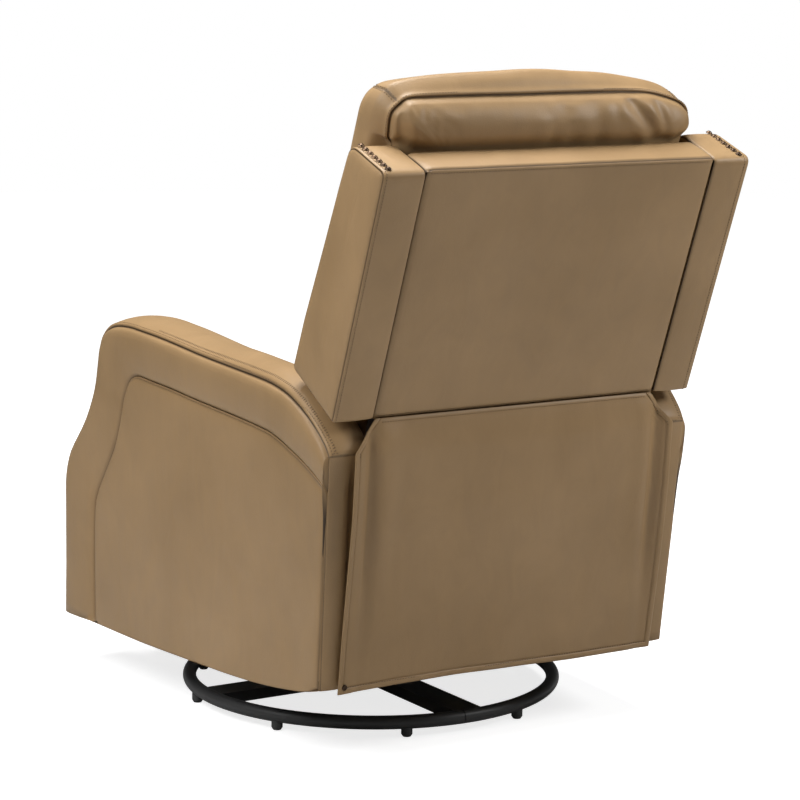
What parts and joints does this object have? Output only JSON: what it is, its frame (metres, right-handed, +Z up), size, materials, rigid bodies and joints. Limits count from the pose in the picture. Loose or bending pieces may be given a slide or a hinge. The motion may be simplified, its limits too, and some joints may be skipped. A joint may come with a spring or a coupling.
{
  "type": "swivel rocker recliner",
  "caption": "Leather swivel rocker recliner with flared padded arms, wing back with nail trim, loose head cushion and a steel ring base",
  "frame": {"origin": "point on the floor under the swivel axis, at the middle of the ring base", "axes": "+Z up, -Y the way the chair faces with the swivel at rest, +X the sitter's left"},
  "size_m": [0.7371, 0.9623, 1.0531],
  "materials": {
    "leather": "warm grey-brown full-grain leather, softly mottled, satin",
    "base_metal": "satin black powder coat",
    "link_metal": "semi-gloss black enamel on stamped steel",
    "zinc": "bright zinc plate",
    "nail_metal": "antiqued dark bronze, domed",
    "wood": "unfinished plywood and pine",
    "rubber": "matt black",
    "webbing": "woven elastic webbing"
  },
  "bodies": {
    "base": {"base_ring": "base_metal", "base_bar_long": "base_metal", "base_bar_halves": "base_metal", "foot_pads": "rubber", "bearing_lower": "zinc", "king_bolt": "zinc", "bearing_balls": "zinc"},
    "turntable": {"bearing_upper": "zinc", "rocker_plate": "base_metal", "rocker_ears": "base_metal", "rocker_columns": "base_metal", "bump_stops": "rubber", "rock_springs": "zinc"},
    "frame": {"rock_pins": "zinc", "cradle_hangers": "base_metal", "cradle_rail_front": "base_metal", "cradle_rail_rear": "base_metal", "side_board_left": "wood", "side_board_right": "wood", "side_plate_left": "link_metal", "side_plate_right": "link_metal", "frame_rivets": "zinc", "rear_rail": "wood", "arm_left": "leather", "arm_right": "leather", "side_panel_left": "leather", "side_panel_right": "leather", "rear_skirt": "leather"},
    "lever": {"lever_shaft": "zinc", "lever_handle": "base_metal"},
    "seat": {"seat_rail_front": "leather", "seat_rail_rear": "wood", "seat_side_rails": "wood", "seat_springs": "zinc", "slide_pins": "zinc", "seat_cushion": "leather"},
    "main_arms": {"main_links": "link_metal", "drive_tube": "link_metal", "main_link_rivets": "zinc"},
    "follower_arms": {"follower_links": "link_metal"},
    "carrier_arms": {"carriers": "link_metal", "carrier_rivets": "zinc"},
    "steering": {"steer_links": "link_metal"},
    "footrest_pad": {"footrest_brackets": "link_metal", "bracket_rivets": "zinc", "footrest_board": "wood", "footrest_cushion": "leather"},
    "back": {"back_posts": "wood", "back_rails": "wood", "back_brackets": "link_metal", "back_straps": "webbing", "back_panel": "leather", "wing_left": "leather", "wing_right": "leather", "wing_nails": "nail_metal", "back_cushion": "leather", "head_cushion": "leather"},
    "pushers": {"push_links": "link_metal", "push_rivets": "zinc"}
  },
  "joints": [
    {"name": "swivel", "type": "hinge", "parent": "base", "child": "turntable", "pos_m": [0, 0, 0.043], "axis": [0, 0, 1], "continuous": true},
    {"name": "rock", "type": "hinge", "parent": "turntable", "child": "frame", "pos_m": [0, 0, 0.14], "axis": [-1, 0, 0], "range_deg": [-7, 7], "stiffness_Nm_per_rad": 900, "deforming": ["rock_springs"]},
    {"name": "recline", "type": "hinge", "parent": "frame", "child": "back", "pos_m": [0, 0.27, 0.43], "axis": [-1, 0, 0], "range_deg": [0, 35], "deforming": ["rear_skirt"]},
    {"name": "seat_slide", "type": "slide", "parent": "frame", "child": "seat", "axis": [0, -1, 0], "range_m": [0, 0.04]},
    {"name": "pusher_pivot", "type": "hinge", "parent": "back", "child": "pushers", "pos_m": [0, 0.29, 0.36657], "axis": [1, 0, 0], "range_deg": [0, 35]},
    {"name": "footrest", "type": "hinge", "parent": "frame", "child": "main_arms", "pos_m": [0, -0.3, 0.385], "axis": [-1, 0, 0], "range_deg": [0, 90]},
    {"name": "follower_swing", "type": "hinge", "parent": "frame", "child": "follower_arms", "pos_m": [0, -0.23722, 0.36818], "axis": [-1, 0, 0], "range_deg": [0, 90]},
    {"name": "carrier_swing", "type": "hinge", "parent": "main_arms", "child": "carrier_arms", "pos_m": [0, -0.165, 0.15117], "axis": [1, 0, 0], "range_deg": [0, 90]},
    {"name": "steering_swing", "type": "hinge", "parent": "main_arms", "child": "steering", "pos_m": [0, -0.15774, 0.1017], "axis": [1, 0, 0], "range_deg": [0, 90]},
    {"name": "footrest_tilt", "type": "hinge", "parent": "carrier_arms", "child": "footrest_pad", "pos_m": [0, -0.3247, 0.27], "axis": [-1, 0, 0], "range_deg": [0, 90]},
    {"name": "release", "type": "hinge", "parent": "frame", "child": "lever", "pos_m": [0, -0.15, 0.33], "axis": [-1, 0, 0], "range_deg": [0, 35], "stiffness_Nm_per_rad": 1, "springref_deg": -20.05}
  ],
  "couplings": [
    {"joint": "seat_slide", "follows": "recline", "m_per_rad": 0.06545},
    {"joint": "pusher_pivot", "follows": "recline", "ratio": 1},
    {"joint": "follower_swing", "follows": "footrest", "ratio": 1},
    {"joint": "carrier_swing", "follows": "footrest", "ratio": 1},
    {"joint": "steering_swing", "follows": "footrest", "ratio": 1},
    {"joint": "footrest_tilt", "follows": "footrest", "ratio": 1}
  ]
}
